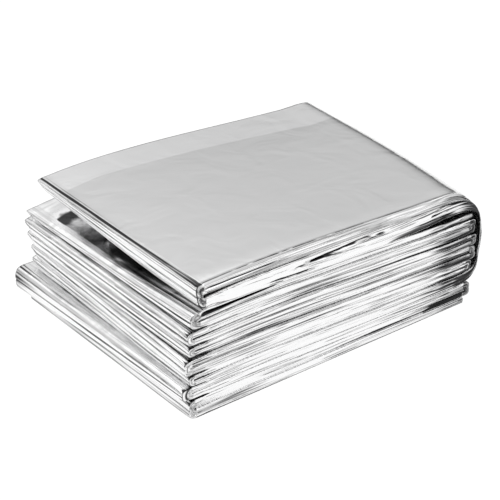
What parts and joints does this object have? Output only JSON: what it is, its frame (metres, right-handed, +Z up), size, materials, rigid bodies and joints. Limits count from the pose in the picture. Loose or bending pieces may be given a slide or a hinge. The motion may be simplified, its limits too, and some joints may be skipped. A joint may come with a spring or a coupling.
{
  "type": "emergency foil blanket",
  "caption": "Folded emergency blanket of metallised film: a soft silver pack with open folds at one end and a wrapped end, resting flat.",
  "frame": {"origin": "centre of the pack's footprint, on the surface it rests on", "axes": "+X along the pack towards its wrapped end, +Y across it, +Z up"},
  "size_m": [0.1472, 0.105, 0.0536],
  "materials": {
    "foil": "bright metallised film, soft sheen, finely creased"
  },
  "bodies": {
    "root": {"foil_blanket": "foil"}
  },
  "joints": []
}
